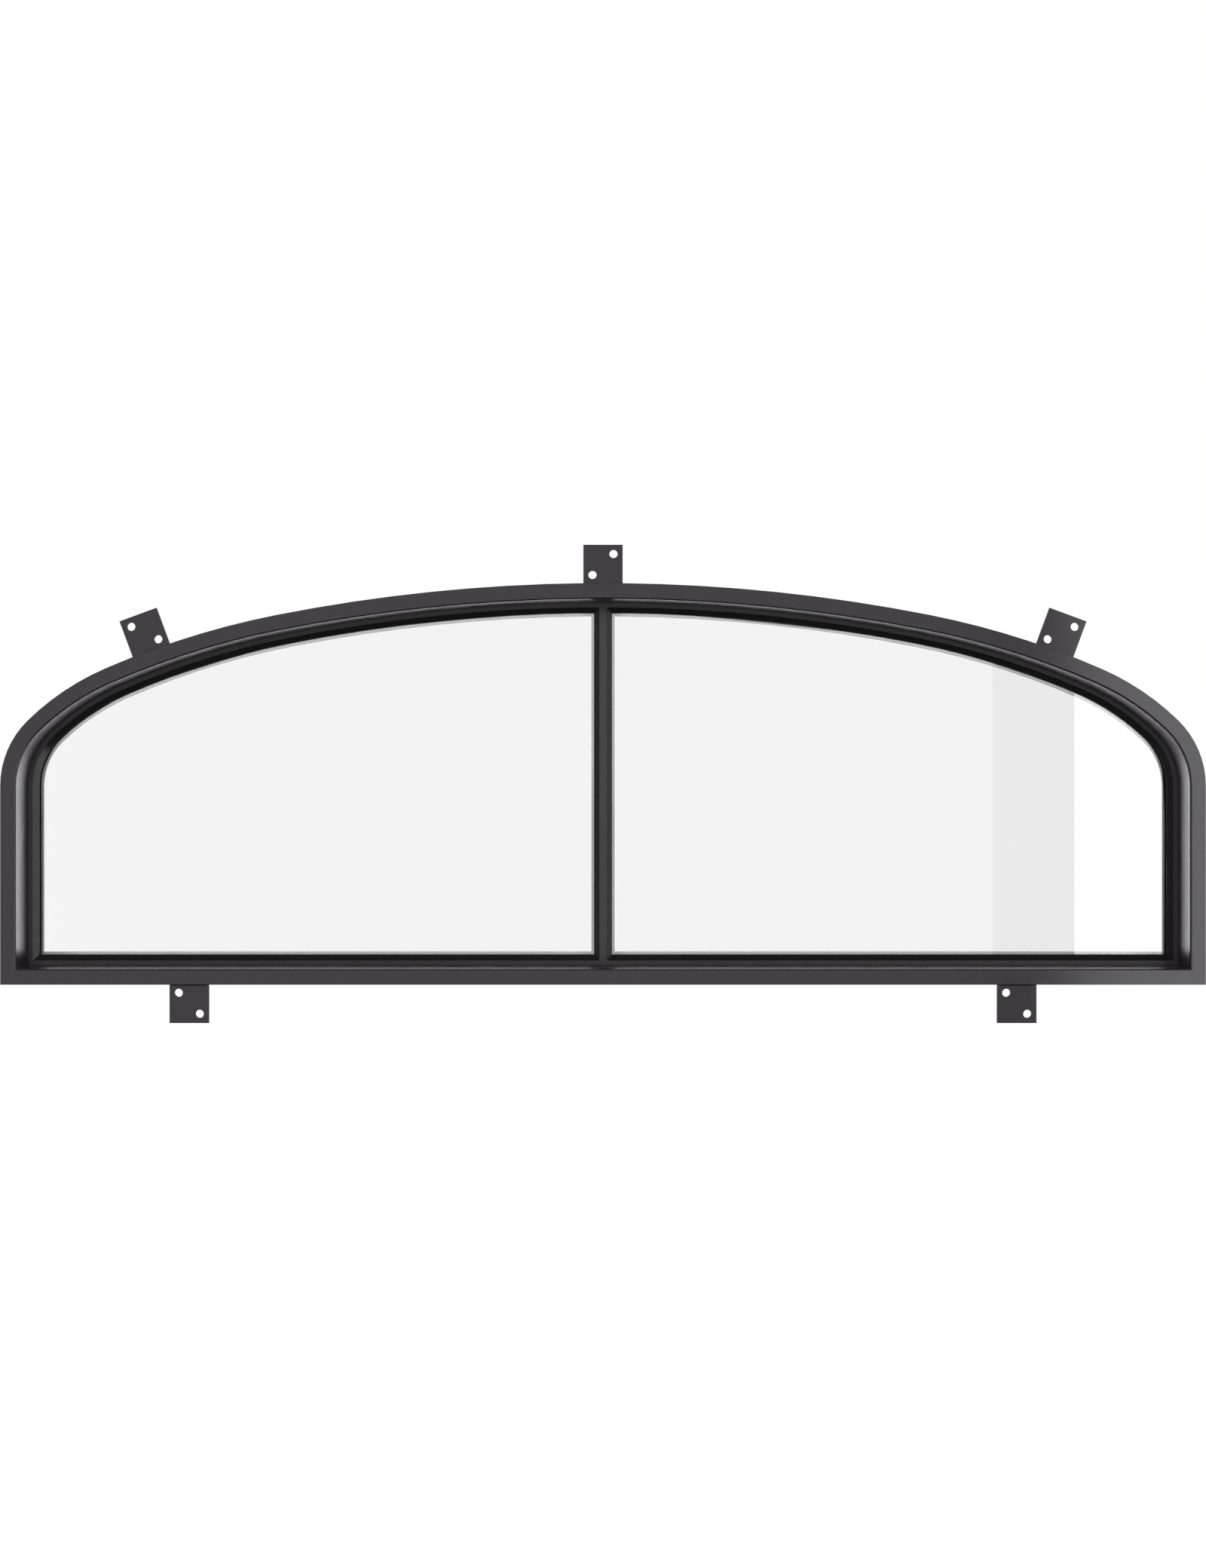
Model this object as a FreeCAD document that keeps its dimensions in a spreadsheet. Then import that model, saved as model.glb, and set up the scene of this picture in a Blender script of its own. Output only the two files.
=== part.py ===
import FreeCAD, Part
import os
import Sketcher
from FreeCAD import Placement, Rotation, Vector

# Fixed arched top window: a rolled steel tube frame, bevelled glazing bars on both sides of two
# glass panes, a vertical mullion between them and five drilled fixing tabs.
# Row frame: the origin is the middle of the top tab's back face, +X right, +Y to the rear, +Z up.
# The tubes are drawn about the middle of the spring line at half the frame's depth, the glazing
# about the same point at the middle of the glass.

SIZES = [
    ("frame_width", 1828.8, "overall width, 72 in"),
    ("jamb_height", 301.3, "underside of the sill to the spring line of the arch"),
    ("haunch_radius", 139.6, "outer radius of the arch next to the jambs"),
    ("haunch_sweep_deg", 45.8, "arch rolled to the haunch radius, in degrees"),
    ("shoulder_radius", 390.0, "outer radius of the arch above the haunch"),
    ("shoulder_sweep_deg", 20.6, "arch rolled to the shoulder radius, in degrees"),
    ("brow_radius", 1265.0, "outer radius of the arch between shoulder and crown"),
    ("brow_sweep_deg", 12.5, "arch rolled to the brow radius, in degrees"),
    ("frame_depth", 101.6, "front face to rear face, 4 in"),
    ("tube_face", 24.0, "width of the frame tube seen from the front"),
    ("tube_wall", 2.0, "wall of the frame tube"),
    ("hollow_radius", 1.0, "corner radius of the hollow in the frame tube"),
    ("inner_edge_radius", 3.0, "rounding of the tube's edges towards the glass"),
    ("outer_edge_radius", 0.8, "rounding of the tube's edges on the outside of the frame"),
    ("front_recess", 46.15, "front face of the frame to the front of the glazing bars"),
    ("bar_thick", 6.35, "thickness of the glazing bars, 1/4 in"),
    ("bar_face", 6.9, "flat of a front glazing bar beside the tube"),
    ("bevel_width", 8.3, "bevel of a glazing bar, across its face"),
    ("bevel_depth", 5.0, "bevel of a glazing bar, through its thickness"),
    ("rear_sight", 4.2, "rear bar or cap seen through the glass past the front one"),
    ("mullion_face", 11.2, "flat of the front mullion cap"),
    ("mullion_core", 8.0, "width of the mullion web between the panes"),
    ("pane_thick", 6.0, "thickness of a glass pane"),
    ("tape_thick", 1.5, "glazing tape between bar and glass"),
    ("tape_recess", 1.0, "front tape held back from the edge of the bar"),
    ("glass_clearance", 3.0, "edge of the glass to the tube or the mullion web"),
    ("tab_width", 60.0, "width of a fixing tab"),
    ("tab_length", 60.0, "reach of a fixing tab from the tube"),
    ("tab_thick", 3.0, "plate of the fixing tabs"),
    ("tab_setback", 12.0, "front face of the frame to the front of the tabs"),
    ("tab_hole", 12.5, "diameter of the tab holes"),
    ("tab_hole_pitch", 32.0, "spacing of the two tab holes, across and along the tab"),
    ("upper_tab_tilt_deg", 20.28, "lean of the two upper side tabs from upright, in degrees"),
    ("lower_tab_inset", 283.4, "side of the frame to the middle of a lower tab"),
]

# Values worked out from the sizes: the centres of the arch's arcs, measured from the spring line,
# the depth of each glazing layer from the middle of the glass, the place of the whole in the row
# frame and the arc of the arch on which the upper side tabs stand.
LAYOUT = [
    ("half_width", "Sizes.frame_width / 2"),
    ("haunch_x", "half_width - Sizes.haunch_radius"),
    ("shoulder_x", "haunch_x - (Sizes.shoulder_radius - Sizes.haunch_radius) * cos(Sizes.haunch_sweep_deg)"),
    ("shoulder_drop", "(Sizes.shoulder_radius - Sizes.haunch_radius) * sin(Sizes.haunch_sweep_deg)"),
    ("brow_angle", "Sizes.haunch_sweep_deg + Sizes.shoulder_sweep_deg"),
    ("brow_x", "shoulder_x - (Sizes.brow_radius - Sizes.shoulder_radius) * cos(brow_angle)"),
    ("brow_drop", "shoulder_drop + (Sizes.brow_radius - Sizes.shoulder_radius) * sin(brow_angle)"),
    ("crown_angle", "brow_angle + Sizes.brow_sweep_deg"),
    ("crown_radius", "Sizes.brow_radius + brow_x / cos(crown_angle)"),
    ("crown_drop", "brow_drop + (crown_radius - Sizes.brow_radius) * sin(crown_angle)"),
    ("rise", "crown_radius - crown_drop"),
    ("bar_reach", "Sizes.bar_face + Sizes.bevel_width"),
    ("cap_half", "Sizes.mullion_face / 2 + Sizes.bevel_width"),
    ("web_half", "Sizes.mullion_core / 2"),
    ("glass_half", "Sizes.pane_thick / 2"),
    ("bar_back", "glass_half + Sizes.tape_thick"),
    ("bar_front", "bar_back + Sizes.bar_thick"),
    ("bevel_foot", "bar_front - Sizes.bevel_depth"),
    ("front_depth", "-Sizes.tab_setback - Sizes.tab_thick"),
    ("mid_depth", "front_depth + Sizes.frame_depth / 2"),
    ("glass_depth", "front_depth + Sizes.front_recess + bar_front"),
    ("spring_level", "-rise - Sizes.tab_length / 2"),
    ("sill_level", "spring_level - Sizes.jamb_height"),
    ("tab_angle", "90 - Sizes.upper_tab_tilt_deg"),
    ("tab_high_x", "tab_angle > crown_angle ? 0 : brow_x"),
    ("tab_high_drop", "tab_angle > crown_angle ? crown_drop : brow_drop"),
    ("tab_high_radius", "tab_angle > crown_angle ? crown_radius : Sizes.brow_radius"),
    ("tab_low_x", "tab_angle > Sizes.haunch_sweep_deg ? shoulder_x : haunch_x"),
    ("tab_low_drop", "tab_angle > Sizes.haunch_sweep_deg ? shoulder_drop : 0"),
    ("tab_low_radius", "tab_angle > Sizes.haunch_sweep_deg ? Sizes.shoulder_radius : Sizes.haunch_radius"),
    ("tab_arc_x", "tab_angle > brow_angle ? tab_high_x : tab_low_x"),
    ("tab_arc_drop", "tab_angle > brow_angle ? tab_high_drop : tab_low_drop"),
    ("tab_arc_radius", "tab_angle > brow_angle ? tab_high_radius : tab_low_radius"),
]

# The arch's arcs from the spring line up: centre across, centre below the spring line, outer
# radius, and the angle from level at which the arc hands over to the next.
ARCS = (
    ("Layout.haunch_x", "0", "Sizes.haunch_radius", "Sizes.haunch_sweep_deg"),
    ("Layout.shoulder_x", "Layout.shoulder_drop", "Sizes.shoulder_radius", "Layout.brow_angle"),
    ("Layout.brow_x", "Layout.brow_drop", "Sizes.brow_radius", "Layout.crown_angle"),
    ("0", "Layout.crown_drop", "Layout.crown_radius", "90"),
)

doc = FreeCAD.newDocument("arched_window")
sheet = doc.addObject("Spreadsheet::Sheet", "Sizes")
for row, (alias, number, note) in enumerate(SIZES, start=1):
    sheet.set(f"A{row}", alias)
    sheet.set(f"B{row}", str(number))
    sheet.setAlias(f"B{row}", alias)
    sheet.set(f"C{row}", note)
layout = doc.addObject("Spreadsheet::Sheet", "Layout")
for row, (alias, formula) in enumerate(LAYOUT, start=1):
    layout.set(f"A{row}", alias)
    layout.set(f"B{row}", "=" + formula)
    layout.setAlias(f"B{row}", alias)
doc.recompute()

FRONT = -1
REAR = 1
TURNED = Rotation(Vector(0, 0, 1), 180)
pieces = []


def worth(expression):
    """Number that an expression of the sheets gives now."""
    return float(sheet.evalExpression(expression))


def new_body(label, rotation=Rotation(), depth="Layout.glass_depth"):
    """Body of one piece of the frame, placed from the spring line's middle to the row frame."""
    body = doc.addObject("PartDesign::Body", label)
    body.Label = label
    body.Placement = Placement(Vector(), rotation)
    body.setExpression("Placement.Base.y", depth)
    body.setExpression("Placement.Base.z", "Layout.spring_level")
    pieces.append(body)
    return body


def new_sketch(body, role, name):
    """Empty sketch on one of the body's own origin planes."""
    plane = next(f for f in body.Origin.OriginFeatures if f.Role == role)
    sketch = body.newObject("Sketcher::SketchObject", name)
    sketch.AttachmentSupport = (plane, [""])
    sketch.MapMode = "FlatFace"
    return sketch


def hold(sketch, kind, geometry, point, expression):
    """Hold a point's distance from the sketch origin at an expression."""
    index = sketch.addConstraint(Sketcher.Constraint(kind, -1, 1, geometry, point, worth(expression)))
    sketch.setExpression(f"Constraints[{index}]", expression)


def trace(sketch, start, steps, closed=True):
    """Draw a chain of lines and arcs through points given as expressions.

    A line step is (x, y). An arc step is (x, y, centre x, centre y, held axis): it runs
    anticlockwise about its centre, and only the held axis of its end is pinned, because its
    radius already follows from its start. A closed chain ends with a line back to its start.
    """
    first = None
    last = None
    previous = start
    for number, step in enumerate(steps):
        closing = closed and number == len(steps) - 1
        a = Vector(worth(previous[0]), worth(previous[1]), 0)
        b = Vector(worth(step[0]), worth(step[1]), 0)
        if len(step) == 2:
            current = sketch.addGeometry(Part.LineSegment(a, b))
        else:
            centre = Vector(worth(step[2]), worth(step[3]), 0)
            circle = Part.Circle(centre, Vector(0, 0, 1), (a - centre).Length)
            current = sketch.addGeometry(Part.ArcOfCircle(circle, circle.parameter(a), circle.parameter(b)))
            hold(sketch, "DistanceX", current, 3, step[2])
            hold(sketch, "DistanceY", current, 3, step[3])
        if last is None:
            first = current
            hold(sketch, "DistanceX", current, 1, start[0])
            hold(sketch, "DistanceY", current, 1, start[1])
        else:
            sketch.addConstraint(Sketcher.Constraint("Coincident", last, 2, current, 1))
        if closing:
            sketch.addConstraint(Sketcher.Constraint("Coincident", current, 2, first, 1))
        elif len(step) == 2:
            hold(sketch, "DistanceX", current, 2, step[0])
            hold(sketch, "DistanceY", current, 2, step[1])
        elif step[4] == "x":
            hold(sketch, "DistanceX", current, 2, step[0])
        else:
            hold(sketch, "DistanceY", current, 2, step[1])
        last = current
        previous = step


def trace_rounded(sketch, low, high, radii):
    """Draw a rectangle between two corner points with rounded corners.

    The radii go anticlockwise from the corner at the high end of the first axis and the low end
    of the second.
    """
    centres = [
        (f"{high[0]} - {radii[0]}", f"{low[1]} + {radii[0]}"),
        (f"{high[0]} - {radii[1]}", f"{high[1]} - {radii[1]}"),
        (f"{low[0]} + {radii[2]}", f"{high[1]} - {radii[2]}"),
        (f"{low[0]} + {radii[3]}", f"{low[1]} + {radii[3]}"),
    ]
    start = (centres[0][0], low[1])
    steps = [
        (high[0], centres[0][1], *centres[0], "y"),
        (high[0], centres[1][1]),
        (centres[1][0], high[1], *centres[1], "x"),
        (centres[2][0], high[1]),
        (low[0], centres[2][1], *centres[2], "y"),
        (low[0], centres[3][1]),
        (centres[3][0], low[1], *centres[3], "x"),
        start,
    ]
    trace(sketch, start, steps)


def arch_centre(number, side):
    """Centre of one arc, on the right (side 1) or the left (side -1)."""
    across, drop, radius, angle = ARCS[number]
    return (f"{side} * {across}", f"-{drop}")


def arch_joint(number, side, offset):
    """Point where one arc hands over to the next, a given distance inside the outer line."""
    across, drop, radius, angle = ARCS[number]
    inner = f"({radius} - ({offset}))"
    return (f"{side} * ({across} + {inner} * cos({angle}))", f"{inner} * sin({angle}) - {drop}")


def arch_side(offset):
    """Steps up the right side of the arch, from the spring line to the foot of the crown."""
    return [(*arch_joint(n, 1, offset), *arch_centre(n, 1), "x") for n in (0, 1, 2)]


def crown_height(offset, across):
    """Height of the crown over the spring line, a given distance from the middle."""
    return f"sqrt(pow(Layout.crown_radius - ({offset}); 2) - pow({across}; 2)) - Layout.crown_drop"


def trace_arch(sketch, offset):
    """Draw the whole arch from the right spring point to the left one."""
    spring = f"Layout.half_width - ({offset})"
    left = [(*arch_joint(n - 1, -1, offset), *arch_centre(n, -1), "x") for n in (3, 2, 1)]
    foot = (f"-({spring})", "0", *arch_centre(0, -1), "y")
    trace(sketch, (spring, "0"), [*arch_side(offset), *left, foot], closed=False)


def trace_lite(sketch, offset, mullion):
    """Draw the outline of the right hand light, inside the frame and beside the mullion."""
    foot = f"{offset} - Sizes.jamb_height"
    edge = f"Layout.half_width - ({offset})"
    crest = (mullion, crown_height(offset, mullion), *arch_centre(3, 1), "x")
    trace(sketch, (mullion, foot), [(edge, foot), (edge, "0"), *arch_side(offset), crest, (mullion, foot)])


def pad(body, sketch, length, symmetric=False, backwards=False):
    """Pad a sketch by an expression."""
    feature = body.newObject("PartDesign::Pad", "pad")
    feature.Profile = sketch
    feature.SideType = "Symmetric" if symmetric else "One side"
    feature.Reversed = backwards
    feature.setExpression("Length", length)
    return feature


def mitre(body, corners):
    """Cut one corner off a body, through its whole depth."""
    sketch = new_sketch(body, "XZ_Plane", "mitre_sketch")
    for corner in corners:
        trace(sketch, corner[0], [corner[1], corner[2], corner[0]])
    feature = body.newObject("PartDesign::Pocket", "mitre")
    feature.Profile = sketch
    feature.Type = "ThroughAll"
    feature.SideType = "Symmetric"


def sweep(body, section, path):
    """Carry a section round the arch, kept square to the frame's depth."""
    feature = body.newObject("PartDesign::AdditivePipe", "sweep")
    feature.Profile = section
    feature.Spine = (path, [])
    feature.Mode = "Binormal"
    feature.Binormal = Vector(0, 1, 0)


# Frame tubes: one rolled head, two jambs and a sill, mitred at the lower corners.
HALF_DEPTH = "Sizes.frame_depth / 2"
INNER_X = "Layout.half_width - Sizes.tube_face"
SILL_FOOT = "-Sizes.jamb_height"
SILL_TOP = "Sizes.tube_face - Sizes.jamb_height"


def trace_tube(sketch, low, high, radii):
    """Draw the hollow section of the frame tube between two corner points."""
    trace_rounded(sketch, low, high, radii)
    inner_low = [f"{value} + Sizes.tube_wall" for value in low]
    inner_high = [f"{value} - Sizes.tube_wall" for value in high]
    trace_rounded(sketch, inner_low, inner_high, ["Sizes.hollow_radius"] * 4)


OUTSIDE = "Sizes.outer_edge_radius"
INSIDE = "Sizes.inner_edge_radius"
SIDE_RADII = [OUTSIDE, OUTSIDE, INSIDE, INSIDE]
SILL_RADII = [OUTSIDE, INSIDE, INSIDE, OUTSIDE]

head = new_body("head_tube", depth="Layout.mid_depth")
head_section = new_sketch(head, "XY_Plane", "head_section")
trace_tube(head_section, (INNER_X, f"-{HALF_DEPTH}"), ("Layout.half_width", HALF_DEPTH), SIDE_RADII)
head_path = new_sketch(head, "XZ_Plane", "head_path")
trace_arch(head_path, "0")
sweep(head, head_section, head_path)

for label, rotation in (("right_jamb_tube", Rotation()), ("left_jamb_tube", TURNED)):
    jamb = new_body(label, rotation, "Layout.mid_depth")
    jamb_section = new_sketch(jamb, "XY_Plane", "jamb_section")
    trace_tube(jamb_section, (INNER_X, f"-{HALF_DEPTH}"), ("Layout.half_width", HALF_DEPTH), SIDE_RADII)
    pad(jamb, jamb_section, "Sizes.jamb_height", backwards=True)
    mitre(jamb, [[("Layout.half_width", SILL_FOOT), (INNER_X, SILL_TOP), (INNER_X, SILL_FOOT)]])

sill = new_body("sill_tube", depth="Layout.mid_depth")
sill_section = new_sketch(sill, "YZ_Plane", "sill_section")
trace_tube(sill_section, (f"-{HALF_DEPTH}", SILL_FOOT), (HALF_DEPTH, SILL_TOP), SILL_RADII)
pad(sill, sill_section, "Sizes.frame_width", symmetric=True)
SILL_ENDS = []
for side in (1, -1):
    END_X = f"{side} * Layout.half_width"
    SILL_ENDS.append([(END_X, SILL_FOOT), (END_X, SILL_TOP), (f"{side} * ({INNER_X})", SILL_TOP)])
mitre(sill, SILL_ENDS)

# Glazing bars: bevelled flats on the inside of the tubes, in front of the glass and behind it.
# The face says on which side of the body's own plane a bar lies, and the sight how much wider it
# is than a front bar.
NO_SIGHT = "0"
REAR_SIGHT = "Sizes.rear_sight"


def bar_section(foot, inward, face, sight):
    """Corners of a bevelled bar: distance from the tube, then depth."""
    toe = f"{foot} + {inward} * (Layout.bar_reach + {sight})"
    brow = f"{foot} + {inward} * (Sizes.bar_face + {sight})"
    back = f"{face} * Layout.bar_back"
    front = f"{face} * Layout.bar_front"
    bevel = f"{face} * Layout.bevel_foot"
    return [(foot, front), (foot, back), (toe, back), (toe, bevel), (brow, front)]


def trace_loop(sketch, corners):
    """Draw a closed polygon."""
    trace(sketch, corners[0], [*corners[1:], corners[0]])


def head_bar(label, face, sight):
    """Glazing bar that follows the arch."""
    body = new_body(label)
    section = new_sketch(body, "XY_Plane", "bar_section")
    trace_loop(section, bar_section(INNER_X, -1, face, sight))
    path = new_sketch(body, "XZ_Plane", "bar_path")
    trace_arch(path, "Sizes.tube_face")
    sweep(body, section, path)
    return body


def bar_corner(sight):
    """Inner corner of the bars at the foot of the right jamb: across, then up."""
    reach = f"(Sizes.tube_face + Layout.bar_reach + {sight})"
    return (f"Layout.half_width - {reach}", f"{reach} - Sizes.jamb_height")


def jamb_bar(label, face, sight, rotation):
    """Upright glazing bar on the right jamb, mitred at its foot."""
    body = new_body(label, rotation)
    section = new_sketch(body, "XY_Plane", "bar_section")
    trace_loop(section, bar_section(INNER_X, -1, face, sight))
    pad(body, section, "Sizes.jamb_height - Sizes.tube_face", backwards=True)
    corner = bar_corner(sight)
    mitre(body, [[(INNER_X, SILL_TOP), corner, (corner[0], SILL_TOP)]])
    return body


def sill_bar(label, face, sight):
    """Glazing bar along the sill, mitred at both ends."""
    body = new_body(label)
    section = new_sketch(body, "YZ_Plane", "bar_section")
    trace_loop(section, [(depth, level) for level, depth in bar_section(SILL_TOP, 1, face, sight)])
    pad(body, section, "Sizes.frame_width - 2 * Sizes.tube_face", symmetric=True)
    corner = bar_corner(sight)
    ends = []
    for side in (1, -1):
        outer = f"{side} * ({INNER_X})"
        ends.append([(outer, SILL_TOP), (outer, corner[1]), (f"{side} * ({corner[0]})", corner[1])])
    mitre(body, ends)
    return body


front_head_bar = head_bar("front_head_bar", FRONT, NO_SIGHT)
rear_head_bar = head_bar("rear_head_bar", REAR, REAR_SIGHT)
jamb_bar("front_right_bar", FRONT, NO_SIGHT, Rotation())
jamb_bar("rear_right_bar", REAR, REAR_SIGHT, Rotation())
jamb_bar("front_left_bar", REAR, NO_SIGHT, TURNED)
jamb_bar("rear_left_bar", FRONT, REAR_SIGHT, TURNED)
front_sill_bar = sill_bar("front_sill_bar", FRONT, NO_SIGHT)
rear_sill_bar = sill_bar("rear_sill_bar", REAR, REAR_SIGHT)

# Mullion: a web between the panes, with a bevelled cap on each side that is coped to the glazing
# bars of the head and the sill.
web = new_body("mullion_web")
web_sketch = new_sketch(web, "XZ_Plane", "web_sketch")
WEB_TOP = crown_height("Sizes.tube_face", "Layout.web_half")
trace(
    web_sketch,
    ("-Layout.web_half", SILL_TOP),
    [
        ("Layout.web_half", SILL_TOP),
        ("Layout.web_half", WEB_TOP),
        ("-Layout.web_half", WEB_TOP, *arch_centre(3, 1), "x"),
        ("-Layout.web_half", SILL_TOP),
    ],
)
pad(web, web_sketch, "2 * Layout.bar_back", symmetric=True)


def mullion_cap(label, face, sight, top_bar, foot_bar):
    """Bevelled cap of the mullion, cut to the shape of the bars that it runs into."""
    blank = new_body(label + "_blank")
    pieces.remove(blank)
    section = new_sketch(blank, "XY_Plane", "cap_section")
    back = f"{face} * Layout.bar_back"
    bevel = f"{face} * Layout.bevel_foot"
    front = f"{face} * Layout.bar_front"
    brow = f"(Sizes.mullion_face / 2 + {sight})"
    toe = f"(Layout.cap_half + {sight})"
    right = [(toe, back), (toe, bevel), (brow, front)]
    trace_loop(section, right + [(f"-{across}", depth) for across, depth in reversed(right)])
    shaft = pad(blank, section, "Layout.rise - Sizes.tube_face - Sizes.bar_face / 2")
    shaft.SideType = "Two sides"
    shaft.setExpression("Length2", "Sizes.jamb_height - Sizes.tube_face - Sizes.bar_face / 2")
    coped = doc.addObject("Part::Cut", label + "_head_cope")
    coped.Base = blank
    coped.Tool = top_bar
    cap = doc.addObject("Part::Cut", label)
    cap.Label = label
    cap.Base = coped
    cap.Tool = foot_bar
    pieces.append(cap)


mullion_cap("front_mullion_cap", FRONT, NO_SIGHT, front_head_bar, front_sill_bar)
mullion_cap("rear_mullion_cap", REAR, REAR_SIGHT, rear_head_bar, rear_sill_bar)

# Glass: one pane in each light, bedded on tape against the bars in front of it and behind it. The
# rear tape shows through the glass and ends flush with its bar, the front one is held back.
GLASS_EDGE = "Sizes.tube_face + Sizes.glass_clearance"
GLASS_MULLION = "Layout.web_half + Sizes.glass_clearance"


def lite_layer(label, rotation, depth, thickness, inner=None):
    """One layer of a light's glazing: a full sheet, or a ring with the given inner offsets.

    The depth is where the layer's rear face lies, measured forwards from the middle of the glass.
    """
    body = new_body(label, rotation)
    sketch = new_sketch(body, "XZ_Plane", "lite_sketch")
    sketch.setExpression("AttachmentOffset.Base.z", depth)
    trace_lite(sketch, GLASS_EDGE, GLASS_MULLION)
    if inner:
        trace_lite(sketch, *inner)
    pad(body, sketch, thickness)


def tape_edges(beyond):
    """Inner offsets of a tape that ends a given distance past the edge of the front bar."""
    return (f"Sizes.tube_face + Layout.bar_reach + {beyond}", f"Layout.cap_half + {beyond}")


FRONT_EDGES = tape_edges("-Sizes.tape_recess")
REAR_EDGES = tape_edges(REAR_SIGHT)
FORWARD = "Layout.glass_half"
BACKWARD = "-Layout.glass_half - Sizes.tape_thick"
for side, rotation, ahead, behind in (
    ("right", Rotation(), FORWARD, BACKWARD),
    ("left", TURNED, BACKWARD, FORWARD),
):
    lite_layer(f"{side}_pane", rotation, "-Layout.glass_half", "Sizes.pane_thick")
    lite_layer(f"{side}_front_tape", rotation, ahead, "Sizes.tape_thick", FRONT_EDGES)
    lite_layer(f"{side}_rear_tape", rotation, behind, "Sizes.tape_thick", REAR_EDGES)


# Fixing tabs: square plates welded edge-on to the outside of the tube, each with two holes on a
# diagonal. Their back faces lie in the row frame's XZ plane.
def tab(label, hand, seat_radius, base, axis, lean):
    """Fixing tab that stands on the frame's outer line and points away from it.

    The hand says on which side of the tab its outer hole lies. A seat radius shapes the foot to
    the arch, and none leaves it straight. The base is the point where the tab meets the frame.
    """
    body = doc.addObject("PartDesign::Body", label)
    body.Label = label
    body.Placement = Placement(Vector(), Rotation(axis, 1))
    body.setExpression("Placement.Base.x", base[0])
    body.setExpression("Placement.Base.z", base[1])
    body.setExpression("Placement.Rotation.Angle", lean)
    sketch = new_sketch(body, "XZ_Plane", "tab_sketch")
    half = "Sizes.tab_width / 2"
    foot = f"sqrt(pow({seat_radius}; 2) - pow({half}; 2)) - {seat_radius}" if seat_radius else "0"
    seat = (f"-{half}", foot, "0", f"-{seat_radius}", "x") if seat_radius else (f"-{half}", foot)
    corners = [seat, (f"-{half}", "Sizes.tab_length"), (half, "Sizes.tab_length"), (half, foot)]
    trace(sketch, (half, foot), corners)
    for end in (1, -1):
        hole = sketch.addGeometry(Part.Circle(Vector(), Vector(0, 0, 1), worth("Sizes.tab_hole / 2")))
        hold(sketch, "DistanceX", hole, 3, f"{end * hand} * Sizes.tab_hole_pitch / 2")
        hold(sketch, "DistanceY", hole, 3, f"Sizes.tab_length / 2 + {end} * Sizes.tab_hole_pitch / 2")
        index = sketch.addConstraint(Sketcher.Constraint("Diameter", hole, worth("Sizes.tab_hole")))
        sketch.setExpression(f"Constraints[{index}]", "Sizes.tab_hole")
    pad(body, sketch, "Sizes.tab_thick")
    pieces.append(body)


UPRIGHT = Vector(0, 1, 0)
UPPER_X = "(Layout.tab_arc_x + Layout.tab_arc_radius * cos(Layout.tab_angle))"
UPPER_Z = "Layout.spring_level - Layout.tab_arc_drop + Layout.tab_arc_radius * sin(Layout.tab_angle)"
LOWER_X = "(Layout.half_width - Sizes.lower_tab_inset)"
UPPER_LEAN = "Sizes.upper_tab_tilt_deg"
tab("top_tab", 1, "Layout.crown_radius", ("0", "-Sizes.tab_length / 2"), UPRIGHT, "0")
tab("upper_right_tab", 1, "Layout.tab_arc_radius", (UPPER_X, UPPER_Z), UPRIGHT, UPPER_LEAN)
tab("upper_left_tab", -1, "Layout.tab_arc_radius", (f"-{UPPER_X}", UPPER_Z), -UPRIGHT, UPPER_LEAN)
tab("lower_right_tab", -1, None, (LOWER_X, "Layout.sill_level"), UPRIGHT, "180")
tab("lower_left_tab", -1, None, (f"-{LOWER_X}", "Layout.sill_level"), UPRIGHT, "180")

doc.recompute()
for item in doc.Objects:
    if "Invalid" in item.State or "Error" in item.State:
        raise RuntimeError(f"{item.Name} failed: {item.State}")
for piece in pieces:
    if piece.Shape.isNull() or not piece.Shape.isValid() or len(piece.Shape.Solids) != 1:
        raise RuntimeError(f"{piece.Label} is not one sound solid")

os.makedirs("parts", exist_ok=True)
for piece in pieces:
    piece.Shape.exportStep(f"parts/{piece.Label}.step")
    print(piece.Label, round(piece.Shape.Volume), [round(v, 2) for v in piece.Shape.BoundBox.Center])
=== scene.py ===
"""Arched top window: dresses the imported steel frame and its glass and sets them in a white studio."""

import logging
import math
from dataclasses import dataclass
from enum import Enum

import bmesh
import bpy
from mathutils import Matrix, Vector

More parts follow.
